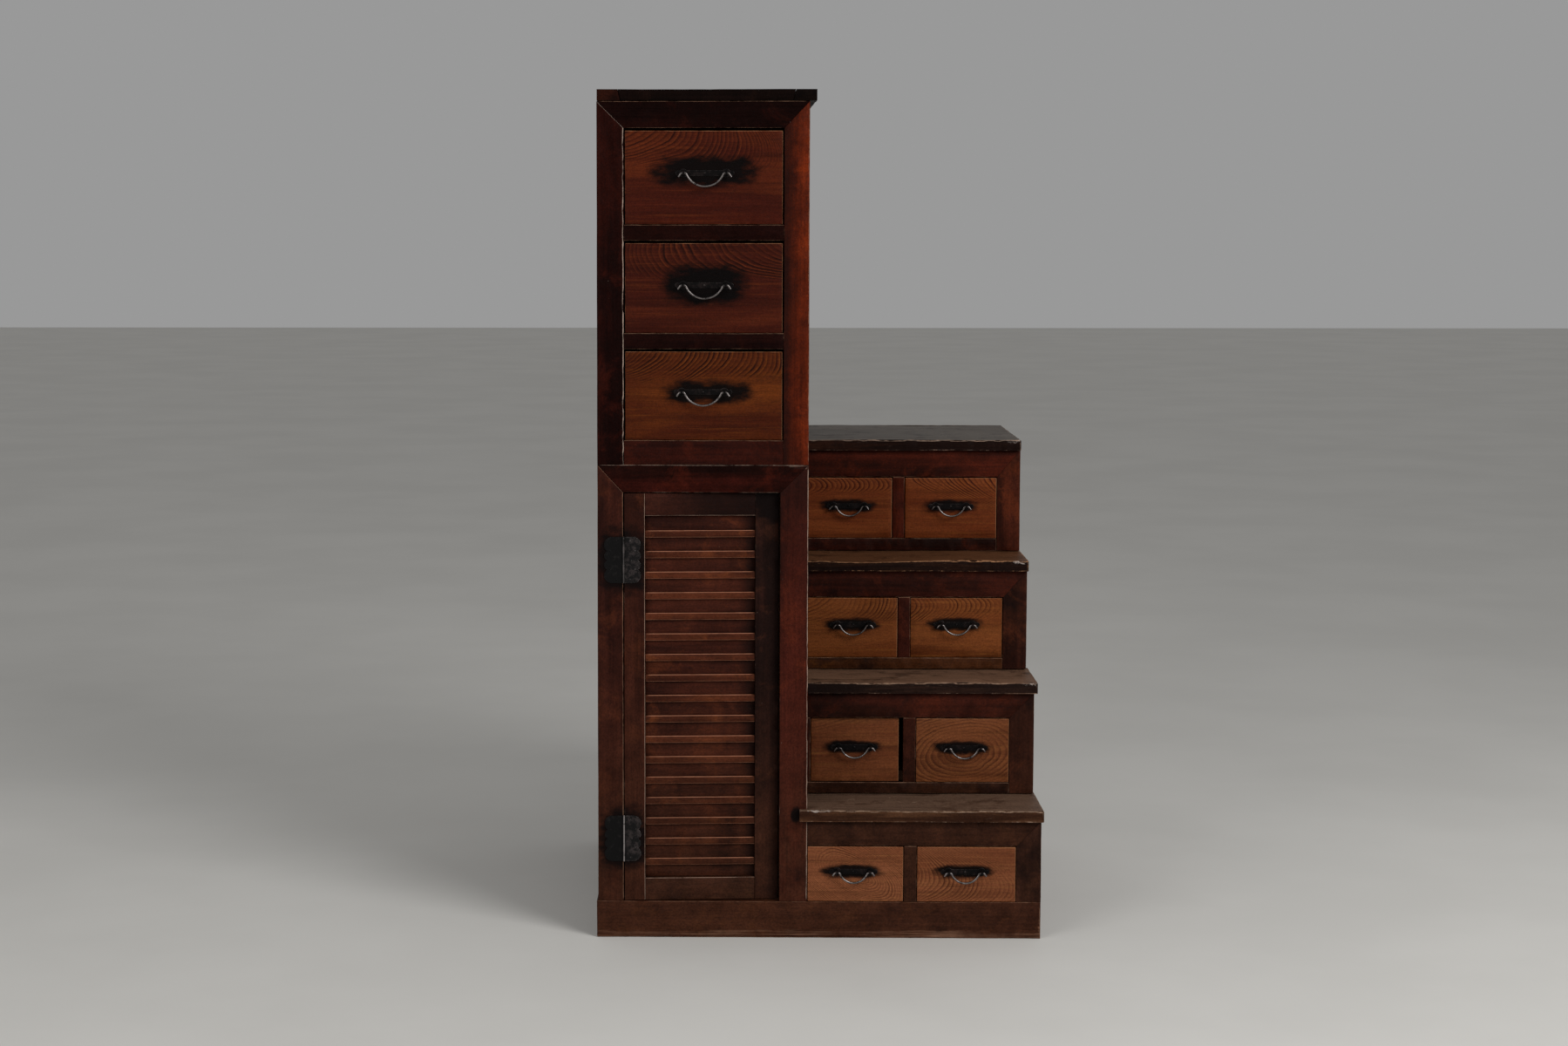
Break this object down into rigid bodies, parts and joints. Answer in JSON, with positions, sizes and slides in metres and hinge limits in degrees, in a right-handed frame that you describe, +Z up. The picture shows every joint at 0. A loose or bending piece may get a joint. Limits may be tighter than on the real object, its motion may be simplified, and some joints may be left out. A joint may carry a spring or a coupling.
{
  "type": "step chest tansu",
  "caption": "Step chest: a tower of drawers over a slatted-door cupboard, beside steps that rise to the back, each with small drawers on iron bail handles.",
  "frame": {"origin": "bottom centre of the whole chest's box, on the floor", "axes": "+X to the right seen from the front, +Y to the back, +Z up; drawers open towards -Y"},
  "size_m": [0.926, 0.8658, 1.75],
  "materials": {
    "lacquered_case": "old dark red-brown lacquer, rubbed thin on the arrises",
    "worn_board": "dark stained softwood, scuffed pale on the edges",
    "drawer_front": "elm-like hardwood with bold grain under thin orange-brown lacquer",
    "drawer_box": "bare aged softwood",
    "inner_wood": "bare aged softwood boards",
    "black_iron": "blackened forged iron, bright where it rubs"
  },
  "bodies": {
    "root": {"base_rails": "lacquered_case", "lower_side_boards": "lacquered_case", "lower_front_frame": "lacquered_case", "cupboard_boards": "inner_wood", "upper_side_boards": "lacquered_case", "upper_front_frame": "lacquered_case", "upper_top_board": "worn_board", "back_boards": "inner_wood", "step_front_frames": "lacquered_case", "step_side_boards": "lacquered_case", "step_treads": "worn_board", "drawer_floors": "inner_wood", "hinge_case_leaves": "black_iron"},
    "door": {"door_frame": "lacquered_case", "door_slats": "lacquered_case", "hinge_door_leaves": "black_iron"},
    "upper_drawer_top": {"upper_drawer_top_front": "drawer_front", "upper_drawer_top_box": "drawer_box", "upper_drawer_top_bail_posts": "black_iron"},
    "upper_drawer_top_bail": {"upper_drawer_top_bail": "black_iron"},
    "upper_drawer_middle": {"upper_drawer_middle_front": "drawer_front", "upper_drawer_middle_box": "drawer_box", "upper_drawer_middle_bail_posts": "black_iron"},
    "upper_drawer_middle_bail": {"upper_drawer_middle_bail": "black_iron"},
    "upper_drawer_bottom": {"upper_drawer_bottom_front": "drawer_front", "upper_drawer_bottom_box": "drawer_box", "upper_drawer_bottom_bail_posts": "black_iron"},
    "upper_drawer_bottom_bail": {"upper_drawer_bottom_bail": "black_iron"},
    "step_1_left_drawer": {"step_1_left_drawer_front": "drawer_front", "step_1_left_drawer_box": "drawer_box", "step_1_left_drawer_bail_posts": "black_iron"},
    "step_1_left_drawer_bail": {"step_1_left_drawer_bail": "black_iron"},
    "step_1_right_drawer": {"step_1_right_drawer_front": "drawer_front", "step_1_right_drawer_box": "drawer_box", "step_1_right_drawer_bail_posts": "black_iron"},
    "step_1_right_drawer_bail": {"step_1_right_drawer_bail": "black_iron"},
    "step_2_left_drawer": {"step_2_left_drawer_front": "drawer_front", "step_2_left_drawer_box": "drawer_box", "step_2_left_drawer_bail_posts": "black_iron"},
    "step_2_left_drawer_bail": {"step_2_left_drawer_bail": "black_iron"},
    "step_2_right_drawer": {"step_2_right_drawer_front": "drawer_front", "step_2_right_drawer_box": "drawer_box", "step_2_right_drawer_bail_posts": "black_iron"},
    "step_2_right_drawer_bail": {"step_2_right_drawer_bail": "black_iron"},
    "step_3_left_drawer": {"step_3_left_drawer_front": "drawer_front", "step_3_left_drawer_box": "drawer_box", "step_3_left_drawer_bail_posts": "black_iron"},
    "step_3_left_drawer_bail": {"step_3_left_drawer_bail": "black_iron"},
    "step_3_right_drawer": {"step_3_right_drawer_front": "drawer_front", "step_3_right_drawer_box": "drawer_box", "step_3_right_drawer_bail_posts": "black_iron"},
    "step_3_right_drawer_bail": {"step_3_right_drawer_bail": "black_iron"},
    "step_4_left_drawer": {"step_4_left_drawer_front": "drawer_front", "step_4_left_drawer_box": "drawer_box", "step_4_left_drawer_bail_posts": "black_iron"},
    "step_4_left_drawer_bail": {"step_4_left_drawer_bail": "black_iron"},
    "step_4_right_drawer": {"step_4_right_drawer_front": "drawer_front", "step_4_right_drawer_box": "drawer_box", "step_4_right_drawer_bail_posts": "black_iron"},
    "step_4_right_drawer_bail": {"step_4_right_drawer_bail": "black_iron"}
  },
  "joints": [
    {"name": "door_hinge", "type": "hinge", "parent": "root", "child": "door", "pos_m": [-0.406, -0.41985, 0.077], "axis": [0, 0, -1], "range_deg": [0, 170]},
    {"name": "upper_drawer_top_slide", "type": "slide", "parent": "root", "child": "upper_drawer_top", "axis": [0, -1, 0], "range_m": [0, 0.3744]},
    {"name": "upper_drawer_top_bail_swing", "type": "hinge", "parent": "upper_drawer_top", "child": "upper_drawer_top_bail", "pos_m": [-0.24, -0.42605, 1.58033], "axis": [-1, 0, 0], "range_deg": [-20, 180]},
    {"name": "upper_drawer_middle_slide", "type": "slide", "parent": "root", "child": "upper_drawer_middle", "axis": [0, -1, 0], "range_m": [0, 0.3744]},
    {"name": "upper_drawer_middle_bail_swing", "type": "hinge", "parent": "upper_drawer_middle", "child": "upper_drawer_middle_bail", "pos_m": [-0.241, -0.42605, 1.35327], "axis": [-1, 0, 0], "range_deg": [-20, 180]},
    {"name": "upper_drawer_bottom_slide", "type": "slide", "parent": "root", "child": "upper_drawer_bottom", "axis": [0, -1, 0], "range_m": [0, 0.3744]},
    {"name": "upper_drawer_bottom_bail_swing", "type": "hinge", "parent": "upper_drawer_bottom", "child": "upper_drawer_bottom_bail", "pos_m": [-0.2435, -0.42605, 1.13535], "axis": [-1, 0, 0], "range_deg": [-20, 180]},
    {"name": "step_1_left_drawer_slide", "type": "slide", "parent": "root", "child": "step_1_left_drawer", "axis": [0, -1, 0], "range_m": [0, 0.3744]},
    {"name": "step_1_left_drawer_bail_swing", "type": "hinge", "parent": "step_1_left_drawer", "child": "step_1_left_drawer_bail", "pos_m": [0.06862, -0.42855, 0.14047], "axis": [-1, 0, 0], "range_deg": [-20, 180]},
    {"name": "step_1_right_drawer_slide", "type": "slide", "parent": "root", "child": "step_1_right_drawer", "axis": [0, -1, 0], "range_m": [0, 0.3744]},
    {"name": "step_1_right_drawer_bail_swing", "type": "hinge", "parent": "step_1_right_drawer", "child": "step_1_right_drawer_bail", "pos_m": [0.29962, -0.42855, 0.14047], "axis": [-1, 0, 0], "range_deg": [-20, 180]},
    {"name": "step_2_left_drawer_slide", "type": "slide", "parent": "root", "child": "step_2_left_drawer", "axis": [0, -1, 0], "range_m": [0, 0.3744]},
    {"name": "step_2_left_drawer_bail_swing", "type": "hinge", "parent": "step_2_left_drawer", "child": "step_2_left_drawer_bail", "pos_m": [0.0773, -0.27305, 0.37013], "axis": [-1, 0, 0], "range_deg": [-20, 180]},
    {"name": "step_2_right_drawer_slide", "type": "slide", "parent": "root", "child": "step_2_right_drawer", "axis": [0, -1, 0], "range_m": [0, 0.3744]},
    {"name": "step_2_right_drawer_bail_swing", "type": "hinge", "parent": "step_2_right_drawer", "child": "step_2_right_drawer_bail", "pos_m": [0.3098, -0.27805, 0.37013], "axis": [-1, 0, 0], "range_deg": [-20, 180]},
    {"name": "step_3_left_drawer_slide", "type": "slide", "parent": "root", "child": "step_3_left_drawer", "axis": [0, -1, 0], "range_m": [0, 0.3744]},
    {"name": "step_3_left_drawer_bail_swing", "type": "hinge", "parent": "step_3_left_drawer", "child": "step_3_left_drawer_bail", "pos_m": [0.0805, -0.12855, 0.61023], "axis": [-1, 0, 0], "range_deg": [-20, 180]},
    {"name": "step_3_right_drawer_slide", "type": "slide", "parent": "root", "child": "step_3_right_drawer", "axis": [0, -1, 0], "range_m": [0, 0.3742]},
    {"name": "step_3_right_drawer_bail_swing", "type": "hinge", "parent": "step_3_right_drawer", "child": "step_3_right_drawer_bail", "pos_m": [0.3055, -0.12605, 0.61023], "axis": [-1, 0, 0], "range_deg": [-20, 180]},
    {"name": "step_4_left_drawer_slide", "type": "slide", "parent": "root", "child": "step_4_left_drawer", "axis": [0, -1, 0], "range_m": [0, 0.268]},
    {"name": "step_4_left_drawer_bail_swing", "type": "hinge", "parent": "step_4_left_drawer", "child": "step_4_left_drawer_bail", "pos_m": [0.07777, 0.02145, 0.85266], "axis": [-1, 0, 0], "range_deg": [-20, 180]},
    {"name": "step_4_right_drawer_slide", "type": "slide", "parent": "root", "child": "step_4_right_drawer", "axis": [0, -1, 0], "range_m": [0, 0.2701]},
    {"name": "step_4_right_drawer_bail_swing", "type": "hinge", "parent": "step_4_right_drawer", "child": "step_4_right_drawer_bail", "pos_m": [0.30377, 0.01845, 0.85266], "axis": [-1, 0, 0], "range_deg": [-20, 180]}
  ]
}
